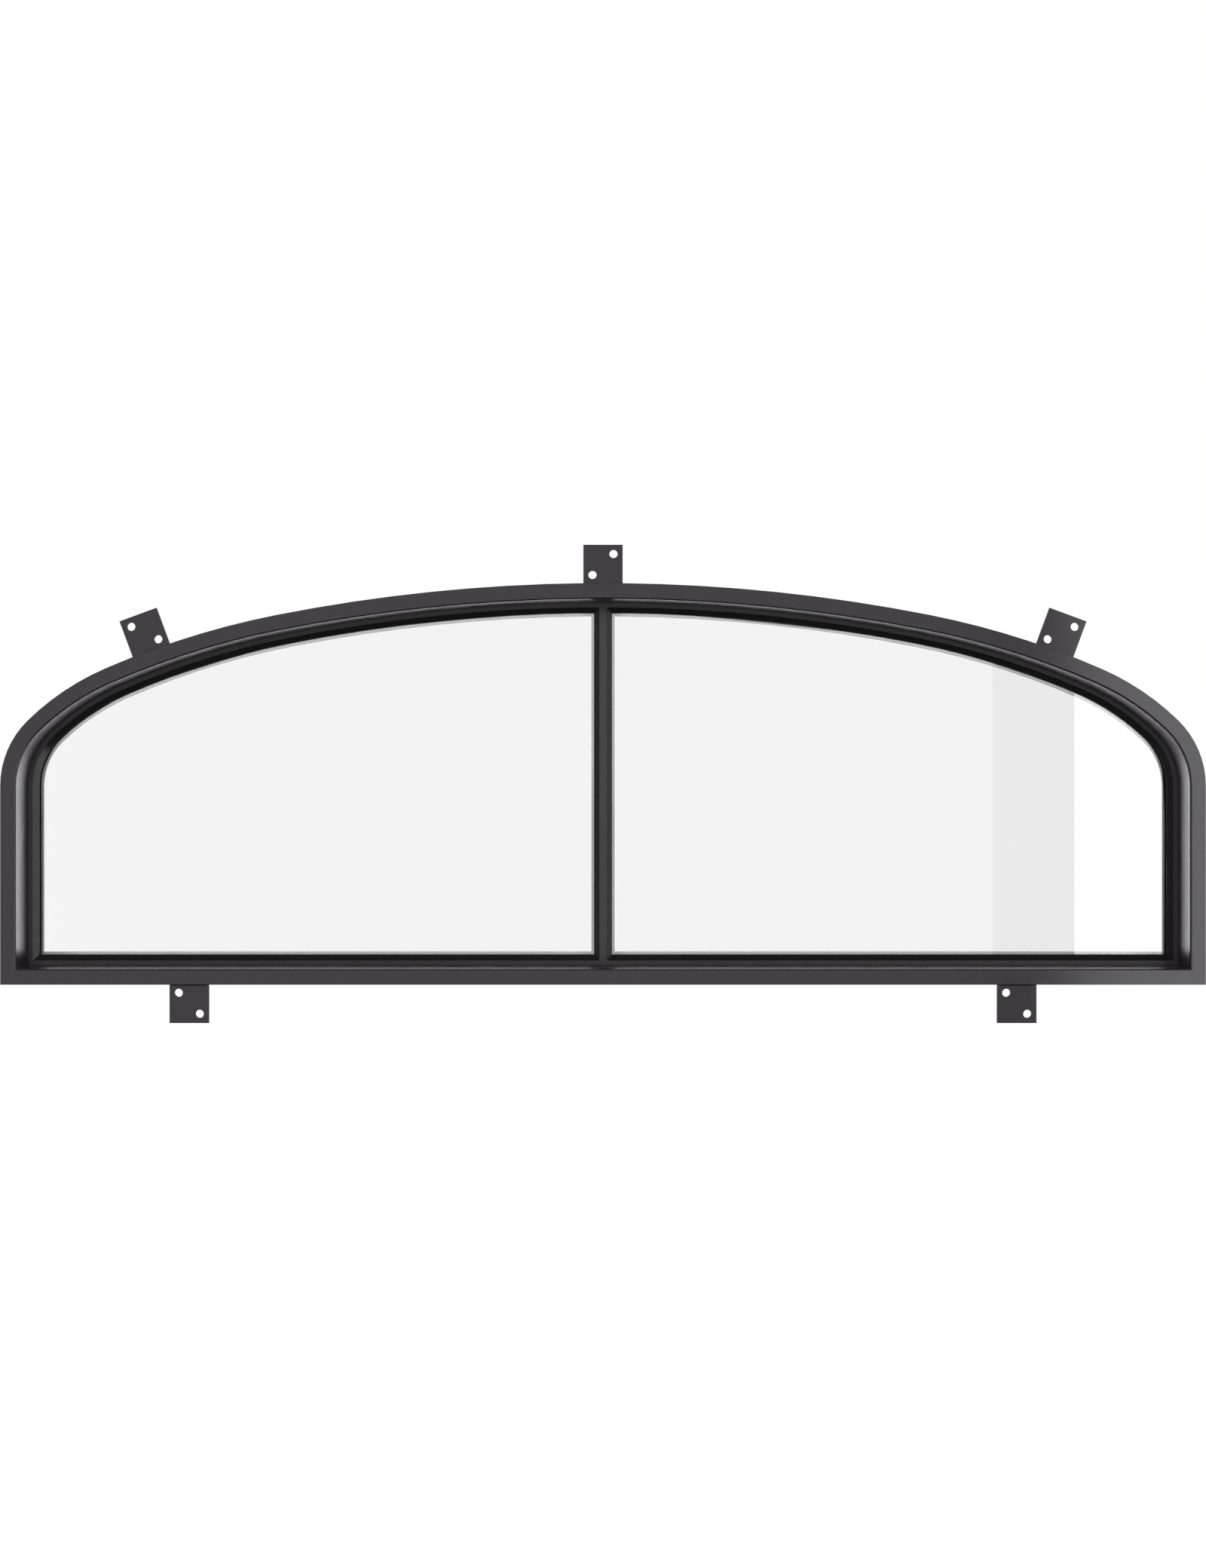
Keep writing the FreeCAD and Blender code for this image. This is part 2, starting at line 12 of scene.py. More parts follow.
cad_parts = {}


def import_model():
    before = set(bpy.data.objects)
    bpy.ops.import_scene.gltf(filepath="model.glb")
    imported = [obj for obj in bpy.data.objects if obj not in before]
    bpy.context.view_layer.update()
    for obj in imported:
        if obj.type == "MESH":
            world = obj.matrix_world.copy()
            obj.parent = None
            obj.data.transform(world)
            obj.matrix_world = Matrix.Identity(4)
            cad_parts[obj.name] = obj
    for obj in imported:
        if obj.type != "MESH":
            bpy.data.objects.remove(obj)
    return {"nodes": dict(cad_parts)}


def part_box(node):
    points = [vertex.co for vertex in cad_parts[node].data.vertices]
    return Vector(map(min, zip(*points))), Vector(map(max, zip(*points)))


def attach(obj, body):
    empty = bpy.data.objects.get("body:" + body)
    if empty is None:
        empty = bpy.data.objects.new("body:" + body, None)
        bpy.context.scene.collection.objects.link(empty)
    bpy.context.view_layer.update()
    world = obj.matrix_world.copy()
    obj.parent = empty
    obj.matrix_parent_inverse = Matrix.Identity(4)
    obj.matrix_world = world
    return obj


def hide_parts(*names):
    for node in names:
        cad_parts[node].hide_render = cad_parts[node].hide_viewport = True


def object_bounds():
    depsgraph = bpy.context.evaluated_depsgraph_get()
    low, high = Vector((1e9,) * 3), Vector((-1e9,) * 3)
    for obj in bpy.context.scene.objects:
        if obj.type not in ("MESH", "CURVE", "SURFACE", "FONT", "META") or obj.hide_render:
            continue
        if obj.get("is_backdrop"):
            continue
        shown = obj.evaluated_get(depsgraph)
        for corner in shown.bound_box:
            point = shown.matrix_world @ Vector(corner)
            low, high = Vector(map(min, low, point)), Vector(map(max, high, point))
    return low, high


LOG = logging.getLogger("arched_window")
MM = 0.001
Span = tuple[float, float]
Colour = tuple[float, float, float]
Nodes = dict[str, bpy.types.Object]
Socket = bpy.types.NodeSocket
Material = bpy.types.Material

RISE: Span = (0.0, 1.0)
FALL: Span = (1.0, 0.0)
GRAIN: Span = (0.3, 0.7)  # where most values of a noise lie
WHITE = (1.0, 1.0, 1.0, 1.0)
MERGE = 0.001 * MM
SHARP = math.radians(40.0)


class Side(Enum):
    """The two lights of the window, seen from the front."""

    LEFT = "left"
    RIGHT = "right"


class Face(Enum):
    """The two faces of the glass."""

    FRONT = "front"
    REAR = "rear"


@dataclass(frozen=True)
class Noise:
    """A noise over the object's own metres: cells for each metre, finer octaves and their strength."""

    scale: float
    detail: float
    roughness: float = 0.5


class Graph:
    """A short way to add and link the nodes of one tree."""

    colour_inputs = (6, 7)  # a mix node's colours share their names with its numbers
    colour_output = 2

    def __init__(self, tree: bpy.types.NodeTree) -> None:
        """Empty the tree and hold it."""
        self.tree = tree
        tree.nodes.clear()

    def add(
        self, kind: str, values: dict[str | int, object] | None = None, **settings: object
    ) -> bpy.types.Node:
        """Add one node.

        Args:
            kind: the node's type name.
            values: what its input sockets hold, by name or number.
            settings: the node's own properties.

        Returns:
            The new node.
        """
        node = self.tree.nodes.new(kind)
        for key, value in settings.items():
            setattr(node, key, value)
        for key, value in (values or {}).items():
            node.inputs[key].default_value = value
        return node

    def join(self, source: Socket, target: Socket) -> None:
        """Link an output socket to an input socket."""
        self.tree.links.new(source, target)

    def feed(self, value: Socket | float, target: Socket) -> None:
        """Give an input socket another socket's value or a plain number.

        Args:
            value: the other socket or the number.
            target: the input socket.
        """
        if isinstance(value, Socket):
            self.join(value, target)
        else:
            target.default_value = value

    def split(self, coordinate: str) -> bpy.types.Node:
        """Split a texture coordinate into its parts.

        Args:
            coordinate: the coordinate's name.

        Returns:
            The node whose outputs are X, Y and Z.
        """
        place = self.add("ShaderNodeTexCoord")
        node = self.add("ShaderNodeSeparateXYZ")
        self.join(place.outputs[coordinate], node.inputs[0])
        return node

    def math(self, operation: str, first: Socket, second: Socket | float = 0.0) -> Socket:
        """Add a math node.

        Args:
            operation: the node's operation.
            first: the socket it works on.
            second: the other socket, or a plain number.

        Returns:
            The node's output socket.
        """
        node = self.add("ShaderNodeMath", operation=operation)
        self.join(first, node.inputs[0])
        self.feed(second, node.inputs[1])
        return node.outputs[0]

    def remap(self, source: Socket, old: Span, new: Span, smooth: bool = False) -> Socket:
        """Stretch a number from one range to another, held at its ends.

        Args:
            source: the socket to stretch.
            old: the range it has.
            new: the range it gets.
            smooth: whether it eases in and out.

        Returns:
            The stretched number's socket.
        """
        values = {"From Min": old[0], "From Max": old[1], "To Min": new[0], "To Max": new[1]}
        easing = "SMOOTHSTEP" if smooth else "LINEAR"
        node = self.add("ShaderNodeMapRange", values, interpolation_type=easing)
        self.join(source, node.inputs["Value"])
        return node.outputs[0]

    def noise(self, noise: Noise) -> Socket:
        """Add a noise over Object coordinates.

        Args:
            noise: its scale, detail and roughness.

        Returns:
            The noise value's socket.
        """
        values = {"Scale": noise.scale, "Detail": noise.detail, "Roughness": noise.roughness}
        place = self.add("ShaderNodeTexCoord")
        node = self.add("ShaderNodeTexNoise", values)
        self.join(place.outputs["Object"], node.inputs["Vector"])
        return node.outputs[0]

    def mix(self, factor: Socket, first: Socket | float, second: Socket | float) -> Socket:
        """Mix two numbers by a factor.

        Args:
            factor: the mix's socket.
            first: the number at 0.
            second: the number at 1.

        Returns:
            The mixed number's socket.
        """
        node = self.add("ShaderNodeMix")
        self.join(factor, node.inputs["Factor"])
        self.feed(first, node.inputs["A"])
        self.feed(second, node.inputs["B"])
        return node.outputs["Result"]

    def tint(self, factor: Socket, first: Colour, second: Colour) -> Socket:
        """Mix two colours by a factor.

        Args:
            factor: the mix's socket.
            first: the colour at 0.
            second: the colour at 1.

        Returns:
            The mixed colour's socket.
        """
        values = dict(zip(self.colour_inputs, ((*first, 1.0), (*second, 1.0))))
        node = self.add("ShaderNodeMix", values, data_type="RGBA")
        self.join(factor, node.inputs["Factor"])
        return node.outputs[self.colour_output]

    def shade(self, colour: Socket, factor: Socket) -> Socket:
        """Multiply a colour by a number.

        Args:
            colour: the colour's socket.
            factor: the number's socket.

        Returns:
            The shaded colour's socket.
        """
        node = self.add("ShaderNodeVectorMath", operation="SCALE")
        self.join(colour, node.inputs[0])
        self.join(factor, node.inputs["Scale"])
        return node.outputs[0]

    def bump(self, height: Socket, strength: Socket | float, depth: float) -> Socket:
        """Turn a height into a bent normal.

        Args:
            height: the height's socket.
            strength: how much of it shows.
            depth: how deep the height from 0 to 1 is.

        Returns:
            The normal's socket.
        """
        node = self.add("ShaderNodeBump", {"Distance": depth})
        self.feed(strength, node.inputs["Strength"])
        self.join(height, node.inputs["Height"])
        return node.outputs[0]

    def seen(self) -> Socket:
        """Pick out the rays of the eye, straight or through glass, that nothing has mirrored.

        Returns:
            The socket that is 1 for those rays and 0 for all others.
        """
        path = self.add("ShaderNodeLightPath")
        plain = self.math("LESS_THAN", path.outputs["Glossy Depth"], 0.5)
        through = self.math("MULTIPLY", path.outputs["Is Transmission Ray"], plain)
        return self.math("MAXIMUM", path.outputs["Is Camera Ray"], through)


def new_material(name: str) -> tuple[Material, Graph, bpy.types.Node]:
    """Start a material with one principled shader.

    Args:
        name: the material's name.

    Returns:
        The material, its graph and its shader node.
    """
    material = bpy.data.materials.new(name)
    material.use_nodes = True
    graph = Graph(material.node_tree)
    shader = graph.add("ShaderNodeBsdfPrincipled")
    out = graph.add("ShaderNodeOutputMaterial")
    graph.join(shader.outputs[0], out.inputs["Surface"])
    return material, graph, shader


def wear(obj: bpy.types.Object, material: Material) -> None:
    """Give an object one material in place of those it has."""
    obj.data.materials.clear()
    obj.data.materials.append(material)


@dataclass(frozen=True)
class SatinPaint:
    """Black sprayed paint on steel: a satin skin with a faint orange peel.

    The size of the normal's y says how a face is turned. From turn down it is a side, which is drier and has
    more peel, and from face up it is a flat. Sides and flats are made paler by painted light, not by the
    paint's own colour.
    """

    name: str
    dark: Colour = (0.0130, 0.0089, 0.0148)
    pale: Colour = (0.0154, 0.0105, 0.0174)
    blotch: Noise = Noise(11.0, 3.0)
    grain: Noise = Noise(180.0, 4.0, 0.6)
    roughness: Span = (0.115, 0.145)
    dry_roughness: Span = (0.36, 0.42)
    index: float = 1.55
    turn: Span = (0.05, 0.3)
    # painted light: sides are made this many times paler, standing in for light the reveals catch
    side_painted_light: float = 1.0
    face: Span = (0.975, 0.99)
    face_dryness: float = 0.0
    # painted light: front flats are made this many times paler, standing in for light they catch
    face_painted_light: float = 1.0
    peel: Noise = Noise(300.0, 2.0)
    peel_depth: float = 0.1 * MM
    peel_strength: Span = (0.075, 0.9)

    def make(self) -> Material:
        """Build the paint: two close blacks, painted light on sides and flats, an uneven gloss, drier sides
        and the peel.

        Returns:
            The material.
        """
        material, graph, shader = new_material(self.name)
        shader.inputs["IOR"].default_value = self.index
        facing = graph.math("ABSOLUTE", graph.split("Normal").outputs["Y"])
        aside = graph.remap(facing, self.turn, FALL, smooth=True)
        # painted light: side faces get a paler base colour
        lift = graph.remap(aside, RISE, (1.0, self.side_painted_light))
        # painted light: front-facing flats get a paler base colour
        front = graph.remap(facing, self.face, (1.0, self.face_painted_light))
        black = graph.tint(graph.noise(self.blotch), self.dark, self.pale)
        graph.join(graph.shade(black, graph.math("MULTIPLY", front, lift)), shader.inputs["Base Color"])
        dry = graph.math("MAXIMUM", aside, graph.remap(facing, self.face, (0.0, self.face_dryness)))
        grain = graph.noise(self.grain)
        wet = graph.remap(grain, GRAIN, self.roughness)
        dull = graph.remap(grain, GRAIN, self.dry_roughness)
        graph.join(graph.mix(dry, wet, dull), shader.inputs["Roughness"])
        strength = graph.remap(aside, RISE, self.peel_strength)
        skin = graph.bump(graph.noise(self.peel), strength, self.peel_depth)
        graph.join(skin, shader.inputs["Normal"])
        return material


@dataclass(frozen=True)
class CoatedGlass:
    """Clear glass under a reflecting coat, with the faint waviness of rolling and a trace of dust."""

    name: str
    tint: Colour = (0.88, 0.88, 0.88)
    index: float = 1.8
    dust: Noise = Noise(40.0, 5.0, 0.65)
    dust_edge: Span = (0.45, 0.8)
    dust_roughness: Span = (0.0, 0.012)
    roll: Noise = Noise(6.0, 1.0)
    roll_strength: float = 0.05
    roll_depth: float = 0.02 * MM

    def make(self) -> Material:
        """Build the glass: its tint, a trace of dust and the roll.

        Returns:
            The material.
        """
        material, graph, shader = new_material(self.name)
        shader.inputs["Base Color"].default_value = (*self.tint, 1.0)
        shader.inputs["IOR"].default_value = self.index
        shader.inputs["Transmission Weight"].default_value = 1.0
        dust = graph.remap(graph.noise(self.dust), self.dust_edge, self.dust_roughness)
        graph.join(dust, shader.inputs["Roughness"])
        roll = graph.bump(graph.noise(self.roll), self.roll_strength, self.roll_depth)
        graph.join(roll, shader.inputs["Normal"])
        return material


@dataclass(frozen=True)
class TapeFoil:
    """Grey metal foil on the rear tape: painted light makes it brightest along the head, painted shade
    dullest beside the jambs and dimmer by the mullion.

    The edges of the middle and the jambs are distances from the window's middle, those of the head heights.
    """

    name: str
    dark: Colour = (0.43, 0.43, 0.435)
    pale: Colour = (0.48, 0.48, 0.485)
    blotch: Noise = Noise(60.0, 3.0)
    roughness: Span = (0.1, 0.16)
    # painted shade by the mullion and beside the jambs, painted light along the head: colour factors, not
    # the foil's own tone
    middle: Span = (0.02, 0.04)
    middle_painted_shade: float = 0.75
    jamb: Span = (0.8, 0.868)
    jamb_painted_shade: float = 0.4
    head: Span = (-0.4, -0.28)
    head_painted_light: float = 1.35
    scratch: Noise = Noise(900.0, 3.0, 0.6)
    scratch_strength: float = 0.15
    scratch_depth: float = 0.01 * MM

    def make(self) -> Material:
        """Build the foil: two greys, painted shade and painted light along the runs, and fine scratches.

        Returns:
            The material.
        """
        material, graph, shader = new_material(self.name)
        shader.inputs["Metallic"].default_value = 1.0
        place = graph.split("Object")
        reach = graph.math("ABSOLUTE", place.outputs["X"])
        # painted shade and painted light: the foil's grey is scaled by where it lies
        inner = graph.remap(reach, self.middle, (self.middle_painted_shade, 1.0), smooth=True)
        outer = graph.remap(reach, self.jamb, (1.0, self.jamb_painted_shade), smooth=True)
        above = graph.remap(place.outputs["Z"], self.head, (1.0, self.head_painted_light), smooth=True)
        upright = graph.math("MULTIPLY", inner, outer)
        grey = graph.tint(graph.noise(self.blotch), self.dark, self.pale)
        graph.join(graph.shade(grey, graph.math("MULTIPLY", upright, above)), shader.inputs["Base Color"])
        scratch = graph.noise(self.scratch)
        graph.join(graph.remap(scratch, GRAIN, self.roughness), shader.inputs["Roughness"])
        skin = graph.bump(scratch, self.scratch_strength, self.scratch_depth)
        graph.join(skin, shader.inputs["Normal"])
        return material


@dataclass(frozen=True)
class DarkRubber:
    """Black glazing tape or sealant: soft, dull and slightly uneven."""

    name: str
    dark: Colour = (0.010, 0.010, 0.010)
    pale: Colour = (0.018, 0.018, 0.019)
    blotch: Noise = Noise(90.0, 3.0)
    roughness: Span = (0.5, 0.7)
    grain: Noise = Noise(500.0, 3.0)
    skin_strength: float = 0.3
    skin_depth: float = 0.06 * MM

    def make(self) -> Material:
        """Build the rubber: two blacks, an uneven sheen and a fine skin.

        Returns:
            The material.
        """
        material, graph, shader = new_material(self.name)
        black = graph.tint(graph.noise(self.blotch), self.dark, self.pale)
        graph.join(black, shader.inputs["Base Color"])
        grain = graph.noise(self.grain)
        graph.join(graph.remap(grain, GRAIN, self.roughness), shader.inputs["Roughness"])
        skin = graph.bump(grain, self.skin_strength, self.skin_depth)
        graph.join(skin, shader.inputs["Normal"])
        return material


@dataclass(frozen=True)
class FloorPaper:
    """White paper under the window: it glows to the eye, with a faint shadow, and is matt to other rays."""

    name: str
    matt: float = 0.75
    shade: float = 0.08
    glow: float = 0.96

    def make(self) -> Material:
        """Build the paper: one shader for the eye and one for all other rays.

        Returns:
            The material.
        """
        material = bpy.data.materials.new(self.name)
        material.use_nodes = True
        graph = Graph(material.node_tree)
        matt = graph.add("ShaderNodeBsdfDiffuse", {"Color": (*(3 * [self.matt]), 1.0)})
        shade = graph.add("ShaderNodeBsdfDiffuse", {"Color": (*(3 * [self.shade]), 1.0)})
        light = graph.add("ShaderNodeEmission", {"Color": WHITE, "Strength": self.glow})
        paper = graph.add("ShaderNodeAddShader")
        graph.join(shade.outputs[0], paper.inputs[0])
        graph.join(light.outputs[0], paper.inputs[1])
        blend = graph.add("ShaderNodeMixShader")
        graph.join(graph.seen(), blend.inputs[0])
        graph.join(matt.outputs[0], blend.inputs[1])
        graph.join(paper.outputs[0], blend.inputs[2])
        graph.join(blend.outputs[0], graph.add("ShaderNodeOutputMaterial").inputs["Surface"])
        return material


def finish_piece(bm: bmesh.types.BMesh, name: str, material: Material) -> bpy.types.Object:
    """Turn a bmesh into a piece that rides on the frame.

    Args:
        bm: the shape, which is freed.
        name: the piece's name.
        material: the finish it wears.

    Returns:
        The new object, at the origin with its place in its mesh.
    """
    bmesh.ops.remove_doubles(bm, verts=bm.verts[:], dist=MERGE)
    bmesh.ops.recalc_face_normals(bm, faces=bm.faces[:])
    mesh = bpy.data.meshes.new(name)
    bm.to_mesh(mesh)
    bm.free()
    mesh.shade_smooth()
    mesh.set_sharp_from_angle(angle=SHARP)
    piece = bpy.data.objects.new(name, mesh)
    bpy.context.scene.collection.objects.link(piece)
    wear(piece, material)
    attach(piece, "root")
    LOG.info("%s: %d faces", name, len(mesh.polygons))
    return piece


@dataclass
class SteelFrame:
    """The painted tubes, glazing bars and mullion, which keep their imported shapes."""

    tubes: tuple[str, ...] = ("head_tube", "left_jamb_tube", "right_jamb_tube", "sill_tube")
    bars: tuple[str, ...] = ("head_bar", "left_bar", "right_bar", "sill_bar", "mullion_cap")
    web: str = "mullion_web"

    def bar_names(self) -> list[str]:
        """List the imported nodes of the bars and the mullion."""
        return [f"{face.value}_{bar}" for face in Face for bar in self.bars] + [self.web]

    def dress(self, nodes: Nodes, paint: Material, bar_paint: Material) -> None:
        """Paint the steelwork.

        Args:
            nodes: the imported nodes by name.
            paint: the tubes' finish.
            bar_paint: the finish of the bars and the mullion.
        """
        for names, finish in ((self.tubes, paint), (self.bar_names(), bar_paint)):
            for name in names:
                wear(nodes[name], finish)
                LOG.info("%s: painted", name)


@dataclass
class Glazing:
    """The two glass panes and the tapes that bed them against the bars."""

    slack: float = 0.06 * MM
    merge: float = 0.002 * MM
    flat: float = math.radians(0.05)
    rim: float = math.radians(60.0)
    edge: float = 0.25 * MM
    edge_steps: int = 2
    facing: float = 0.9

    def dress(self, nodes: Nodes, glass: Material) -> None:
        """Give the panes their finish.

        Args:
            nodes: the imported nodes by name.
            glass: the panes' finish.
        """
        for side in Side:
            wear(nodes[f"{side.value}_pane"], glass)
            LOG.info("%s pane: glazed", side.value)

    def build_tape(
        self, nodes: Nodes, side: Side, face: Face, rubber: Material, foil: Material
    ) -> bpy.types.Object:
        """Make a tape with eased edges, a hair clear of the glass.

        Args:
            nodes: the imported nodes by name.
            side: which light it belongs to.
            face: which face of the glass it lies on.
            rubber: what it is made of.
            foil: what a rear tape wears on its face towards the glass.

        Returns:
            The tape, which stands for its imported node.
        """
        slot = f"{face.value}_tape"
        name = f"{side.value}_{slot}"
        low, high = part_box(name)
        bm = bmesh.new()
        bm.from_mesh(nodes[name].data)
        bmesh.ops.remove_doubles(bm, verts=bm.verts[:], dist=self.merge)
        bmesh.ops.dissolve_limit(bm, angle_limit=self.flat, verts=bm.verts[:], edges=bm.edges[:])
        thin = 1.0 - 2.0 * self.slack / (high[1] - low[1])
        about = Matrix.Translation((0.0, -(low[1] + high[1]) / 2, 0.0))
        bmesh.ops.scale(bm, vec=(1.0, thin, 1.0), space=about, verts=bm.verts[:])
        rims = [edge for edge in bm.edges if edge.calc_face_angle(0.0) > self.rim]
        bmesh.ops.bevel(
            bm,
            geom=rims,
            offset=self.edge,
            segments=self.edge_steps,
            profile=0.5,
            affect="EDGES",
            material=-1,
        )
        tape = finish_piece(bm, f"{name}_strip", rubber)
        if face is Face.REAR:
            tape.data.materials.append(foil)
            for polygon in tape.data.polygons:
                polygon.material_index = int(polygon.normal.y < -self.facing)
        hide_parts(name)
        return tape


@dataclass(frozen=True)
class TabPlace:
    """Where a fixing tab meets the frame: its root's middle, its lean in degrees and its weld's radius."""

    name: str
    root: tuple[float, float]
    lean: float
    bead: float = 1.2 * MM


@dataclass
class FixingTabs:
    """The drilled tabs and the weld bead along each one's root."""

    places: tuple[TabPlace, ...] = (
        TabPlace("top_tab", (0.0, -30.0 * MM), 0.0),
        TabPlace("upper_left_tab", (-688.384 * MM, -132.703 * MM), -20.28),
        TabPlace("upper_right_tab", (688.384 * MM, -132.703 * MM), 20.28),
        TabPlace("lower_left_tab", (-631.0 * MM, -639.253 * MM), 180.0, 2.9 * MM),
        TabPlace("lower_right_tab", (631.0 * MM, -639.253 * MM), 180.0, 2.9 * MM),
    )
    plate_front: float = -3.0 * MM
    bead_length: float = 58.0 * MM
    bead_sides: int = 12
    bead_steps: int = 96
    ripple_pitch: float = 3.2 * MM
    ripple: float = 0.13
    ripple_rest: float = 0.6
    end_power: int = 14
    end_fill: float = 0.12

    def dress(self, nodes: Nodes, paint: Material) -> None:
        """Paint the tabs.

        Args:
            nodes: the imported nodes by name.
            paint: the tabs' finish.
        """
        for place in self.places:
            wear(nodes[place.name], paint)
            LOG.info("%s: painted", place.name)

    def build_bead(self, place: TabPlace, paint: Material) -> bpy.types.Object:
        """Lay a rippled weld bead in the corner between a tab's face and the tube.

        Args:
            place: the tab it holds.
            paint: the finish over the weld.

        Returns:
            The bead.
        """
        bm = bmesh.new()
        half = self.bead_length / 2
        start = Matrix.Translation((-half, 0.0, 0.0)) @ Matrix.Rotation(math.pi / 2, 4, "Y")
        bmesh.ops.create_circle(
            bm, cap_ends=True, segments=self.bead_sides, radius=place.bead, matrix=start
        )
        bmesh.ops.spin(
            bm,
            geom=bm.verts[:] + bm.edges[:] + bm.faces[:],
            cent=(0, 0, 0),
            axis=(1, 0, 0),
            dvec=(self.bead_length / self.bead_steps, 0.0, 0.0),
            angle=0.0,
            steps=self.bead_steps,
        )
        for vert in bm.verts:
            wave = abs(math.cos(math.pi * vert.co.x / self.ripple_pitch)) - self.ripple_rest
            end = math.sqrt(max(self.end_fill, 1.0 - (abs(vert.co.x) / half) ** self.end_power))
            swell = (1.0 + self.ripple * wave) * end
            vert.co.y *= swell
            vert.co.z *= swell
        x, z = place.root
        lean = Matrix.Rotation(math.radians(place.lean), 4, "Y")
        home = Matrix.Translation((x, self.plate_front, z)) @ lean
        bmesh.ops.transform(bm, matrix=home, verts=bm.verts[:])
        return finish_piece(bm, f"{place.name}_weld", paint)


@dataclass(frozen=True)
class Glow:
    """How bright the studio is in one direction round the window."""

    azimuth: float
    level: float


@dataclass(frozen=True)
class Gap:
    """The dim gap between two soft boxes, with sharp edges."""

    start: float
    stop: float
    level: float


@dataclass(frozen=True)
class Strip:
    """A long low strip of light: its middle, half its width and how bright it is."""

    azimuth: float
    half: float
    level: float


@dataclass(frozen=True)
class Lamp:
    """A soft square lamp: where it hangs, its side and its power in watts."""

    name: str
    spot: tuple[float, float, float]
    size: float = 2.2
    power: float = 80.0


@dataclass
class Studio:
    """A white studio: floor, soft boxes round the window, lamps and the camera.

    Azimuths are in degrees from straight in front, to the right. Bands are ranges of the upward part of a
    ray's direction, or of its size for soft boxes and strips. A level of 1 is white.
    """

    gap: Gap = Gap(15.55, 18.6, 0.48)
    glows: tuple[Glow, ...] = (
        Glow(-180.0, 1.0), Glow(-110.0, 1.0), Glow(-98.0, 0.35), Glow(-62.0, 0.2),
        Glow(-45.0, 0.05), Glow(-32.5, 0.05), Glow(-29.5, 1.0), Glow(16.4, 1.0),
        Glow(18.2, 2.6), Glow(33.0, 2.6), Glow(36.0, 1.15), Glow(39.0, 1.06),
        Glow(50.0, 1.0), Glow(62.0, 0.62), Glow(98.0, 0.5), Glow(110.0, 1.0), Glow(180.0, 1.0),
    )
    brightest: float = 4.0
    band: Span = (0.36, 0.58)
    rear_band: Span = (0.66, 0.86)
    backdrop: float = 2.0
    strips: tuple[Strip, ...] = (Strip(-135.0, 23.0, 6.9), Strip(130.0, 28.0, 6.6))
    strip_edge: float = 4.0
    strip_band: Span = (0.2, 0.34)
    floor_band: Span = (-0.48, -0.32)
    floor_lift: float = 2.0
    sky_band: Span = (0.3, 0.42)
    sky_lift: float = 1.3
    overhead: float = 0.9
    overhead_band: Span = (0.84, 0.97)
    lamps: tuple[Lamp, ...] = (
        Lamp("front_lamp", (-0.9, -3.4, 1.9)),
        Lamp("rear_lamp", (0.9, 3.4, 1.9)),
    )
    aim: tuple[float, float, float] = (0.0, 0.0, -0.34)
    eye: tuple[float, float, float] = (0.0, -2.1382, -0.33479)
    lens: float = 32.156
    sensor: float = 36.0
    sight: float = 200.0
    floor_size: float = 60.0
    floor_drop: float = 0.3 * MM

    def ring(self, graph: Graph, azimuth: Socket) -> Socket:
        """Add the soft boxes round the window, as a share of the brightest level.

        Args:
            graph: the world's graph.
            azimuth: where the ray points.

        Returns:
            The share's socket.
        """
        ramp = graph.add("ShaderNodeValToRGB")
        graph.join(graph.remap(azimuth, (-math.pi, math.pi), RISE), ramp.inputs[0])
        stops = ramp.color_ramp.elements
        while len(stops) < len(self.glows):
            stops.new(0.5)
        for stop, glow in zip(stops, self.glows):
            stop.position = glow.azimuth / 360.0 + 0.5
            stop.color = (*(3 * [glow.level / self.brightest]), 1.0)
        past = graph.math("GREATER_THAN", azimuth, math.radians(self.gap.start))
        short = graph.math("LESS_THAN", azimuth, math.radians(self.gap.stop))
        inside = graph.math("MULTIPLY", past, short)
        return graph.mix(inside, ramp.outputs[0], self.gap.level / self.brightest)

    def belt(self, graph: Graph, ray: bpy.types.Node, past_glass: Socket) -> Socket:
        """Add how the ring of soft boxes fades upwards and downwards, in front of the window and behind it.

        Args:
            graph: the world's graph.
            ray: the parts of the ray's direction.
            past_glass: 1 for rays that have passed the glass.

        Returns:
            The socket of the level at the ring's brightest.
        """
        height = ray.outputs["Z"]
        tall = graph.math("ABSOLUTE", height)
        front = graph.remap(tall, self.band, (self.brightest, 0.0), smooth=True)
        below = graph.remap(height, self.floor_band, (self.backdrop * self.floor_lift, self.backdrop))
        above = graph.remap(height, self.sky_band, (1.0, self.sky_lift))
        behind = graph.mix(past_glass, 1.0, graph.math("MULTIPLY", below, above))
        veil = graph.remap(tall, self.rear_band, (self.brightest, 0.0), smooth=True)
        rear = graph.math("MULTIPLY", behind, veil)
        return graph.mix(graph.math("GREATER_THAN", ray.outputs["Y"], 0.0), front, rear)

    def strip_light(self, graph: Graph, azimuth: Socket, strip: Strip) -> Socket:
        """Add one strip of light with soft ends.

        Args:
            graph: the world's graph.
            azimuth: where the ray points.
            strip: the strip.

        Returns:
            The socket of the strip's level there.
        """
        off = graph.math("ABSOLUTE", graph.math("SUBTRACT", azimuth, math.radians(strip.azimuth)))
        edges = (math.radians(strip.half - self.strip_edge), math.radians(strip.half + self.strip_edge))
        return graph.remap(off, edges, (strip.level, 0.0), smooth=True)

